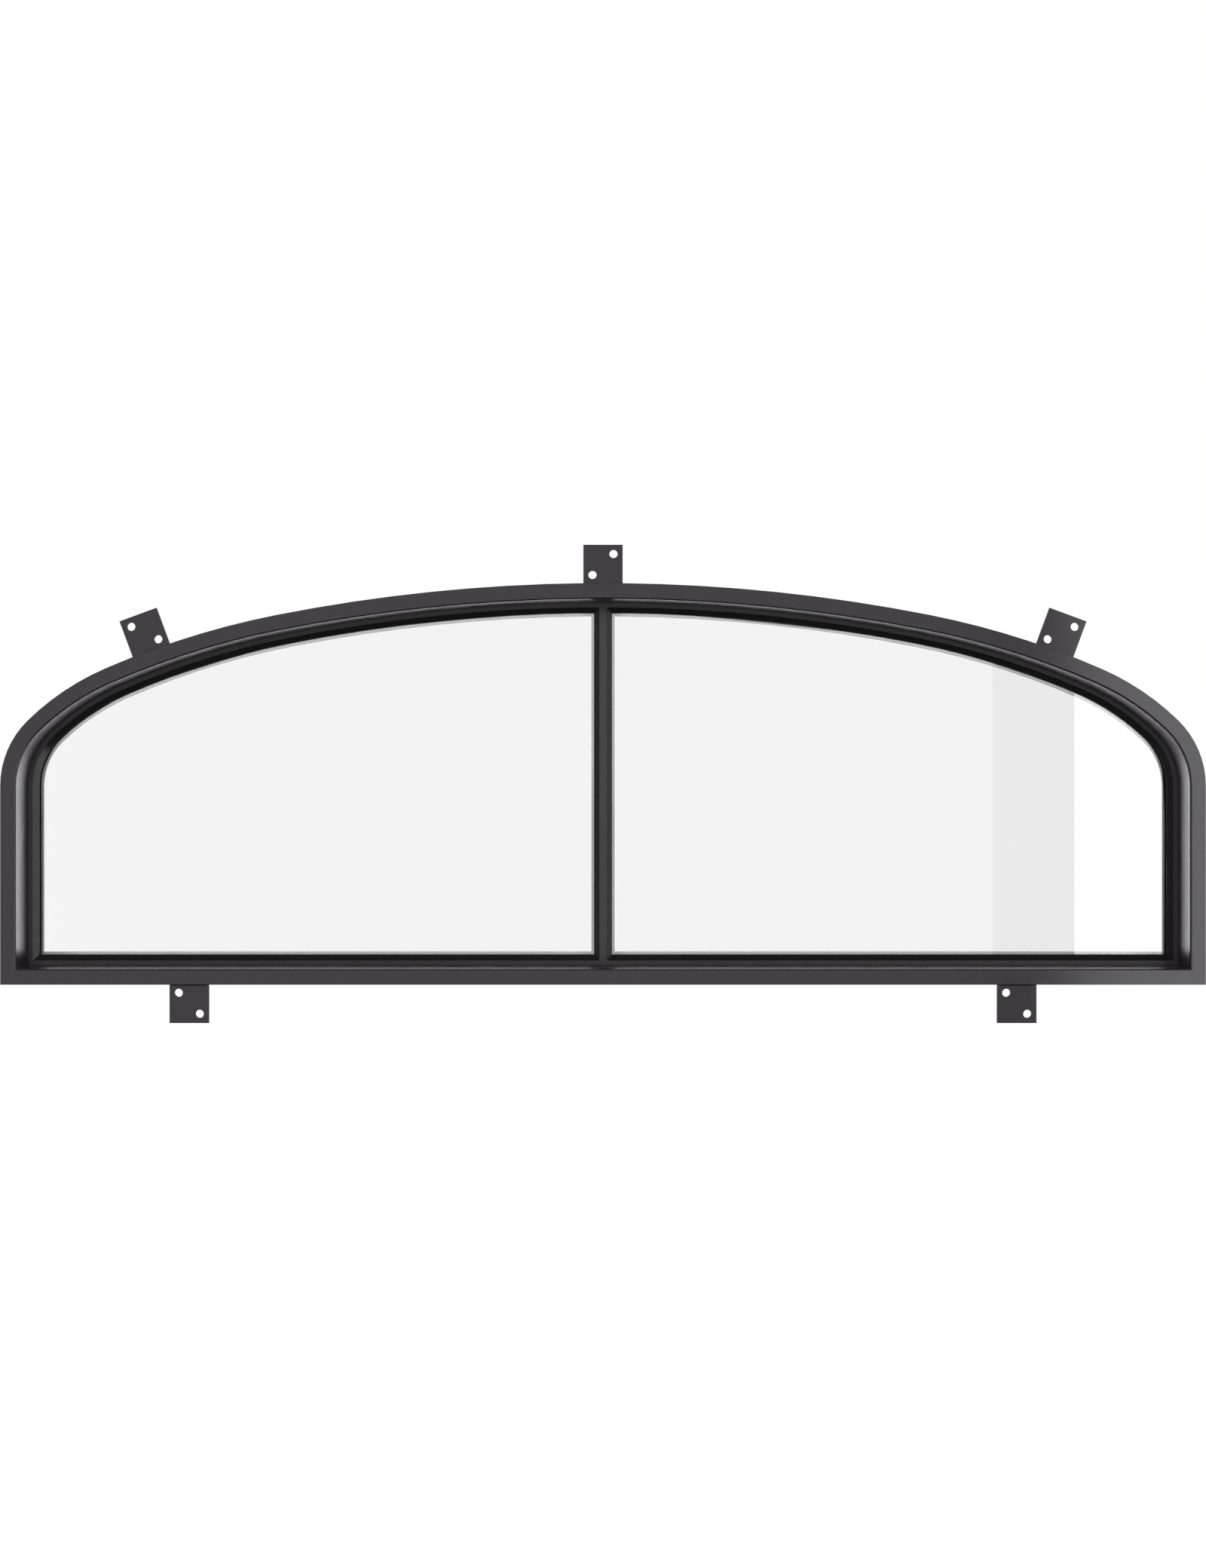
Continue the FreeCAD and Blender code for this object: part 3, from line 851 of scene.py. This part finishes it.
    def build_world(self) -> None:
        """Light the studio: white to the eye and through glass, soft boxes to gloss and paint."""
        world = bpy.data.worlds.new("studio")
        bpy.context.scene.world = world
        world.use_nodes = True
        graph = Graph(world.node_tree)
        ray = graph.split("Generated")
        ahead = graph.math("MULTIPLY", ray.outputs["Y"], -1.0)
        azimuth = graph.math("ARCTAN2", ray.outputs["X"], ahead)
        path = graph.add("ShaderNodeLightPath")
        past_glass = graph.math("GREATER_THAN", path.outputs["Transmission Depth"], 0.5)
        boxes = graph.math("MULTIPLY", self.ring(graph, azimuth), self.belt(graph, ray, past_glass))
        sky = graph.remap(ray.outputs["Z"], self.overhead_band, (0.0, self.overhead), smooth=True)
        level = graph.math("ADD", boxes, sky)
        tall = graph.math("ABSOLUTE", ray.outputs["Z"])
        low = graph.math("MULTIPLY", past_glass, graph.remap(tall, self.strip_band, FALL, smooth=True))
        for strip in self.strips:
            light = graph.math("MULTIPLY", self.strip_light(graph, azimuth, strip), low)
            level = graph.math("ADD", level, light)
        soft = graph.add("ShaderNodeBackground", {"Color": WHITE})
        graph.join(level, soft.inputs["Strength"])
        white = graph.add("ShaderNodeBackground", {"Color": WHITE, "Strength": 1.0})
        blend = graph.add("ShaderNodeMixShader")
        graph.join(graph.seen(), blend.inputs[0])
        graph.join(soft.outputs[0], blend.inputs[1])
        graph.join(white.outputs[0], blend.inputs[2])
        graph.join(blend.outputs[0], graph.add("ShaderNodeOutputWorld").inputs["Surface"])

    def build_floor(self, level: float) -> None:
        """Lay the white floor, which takes a faint shadow.

        Args:
            level: the height of the floor.
        """
        bm = bmesh.new()
        place = Matrix.Translation((0.0, 0.0, level))
        bmesh.ops.create_grid(bm, x_segments=1, y_segments=1, size=self.floor_size / 2, matrix=place)
        mesh = bpy.data.meshes.new("floor")
        bm.to_mesh(mesh)
        bm.free()
        floor = bpy.data.objects.new("floor", mesh)
        bpy.context.scene.collection.objects.link(floor)
        floor.visible_glossy = False
        floor.visible_transmission = False
        wear(floor, FloorPaper("floor_white").make())
        floor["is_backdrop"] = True

    def build_lamp(self, lamp: Lamp) -> None:
        """Hang one soft lamp, which lights the paint and stays out of its gloss.

        Args:
            lamp: where it hangs and how strong it is.
        """
        data = bpy.data.lights.new(lamp.name, "AREA")
        data.size = lamp.size
        data.energy = lamp.power
        obj = bpy.data.objects.new(lamp.name, data)
        obj.location = lamp.spot
        aim = Vector(self.aim) - Vector(lamp.spot)
        obj.rotation_euler = aim.to_track_quat("-Z", "Y").to_euler()
        obj.visible_camera = False
        obj.visible_glossy = False
        obj.visible_transmission = False
        bpy.context.scene.collection.objects.link(obj)

    def build_camera(self) -> None:
        """Set the camera level in front of the window, as far off as the photograph shows."""
        data = bpy.data.cameras.new("camera")
        data.sensor_width = self.sensor
        data.lens = self.lens
        data.clip_end = self.sight
        camera = bpy.data.objects.new("camera", data)
        camera.location = self.eye
        camera.rotation_euler = (math.pi / 2, 0.0, 0.0)
        bpy.context.scene.collection.objects.link(camera)
        bpy.context.scene.camera = camera

    def build(self, bottom: float) -> None:
        """Build the whole studio.

        Args:
            bottom: the height of the part's lowest point.
        """
        level = bottom - self.floor_drop
        self.build_world()
        self.build_floor(level)
        for lamp in self.lamps:
            self.build_lamp(lamp)
        self.build_camera()
        bpy.context.scene.view_settings.view_transform = "Standard"
        LOG.info("studio: floor at %.4f m", level)


def main() -> None:
    """Load the frame, dress it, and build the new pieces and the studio."""
    logging.basicConfig(level=logging.INFO, format="%(name)s: %(message)s")
    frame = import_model()
    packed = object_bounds()
    nodes: Nodes = frame["nodes"]
    # painted light: the tubes' sides are painted 1.9 times paler
    frame_paint = SatinPaint("frame_paint", side_painted_light=1.9).make()
    tab_paint = SatinPaint("tab_paint", index=1.52).make()
    # painted light: the bars' front flats are painted 2.4 times paler
    bar_paint = SatinPaint(
        "bar_paint", dark=(0.0122, 0.0117, 0.0120), pale=(0.0144, 0.0138, 0.0142),
        dry_roughness=(0.5, 0.56), face_dryness=1.0, face_painted_light=2.4,
    ).make()
    SteelFrame().dress(nodes, frame_paint, bar_paint)
    glazing = Glazing()
    glazing.dress(nodes, CoatedGlass("glass").make())
    rubber = DarkRubber("front_tape").make()
    foil = TapeFoil("rear_tape").make()
    for side in Side:
        for face in Face:
            glazing.build_tape(nodes, side, face, rubber, foil)
    tabs = FixingTabs()
    tabs.dress(nodes, tab_paint)
    for place in tabs.places:
        tabs.build_bead(place, tab_paint)
    Studio().build(packed[0].z)


if __name__ == "__main__":
    main()
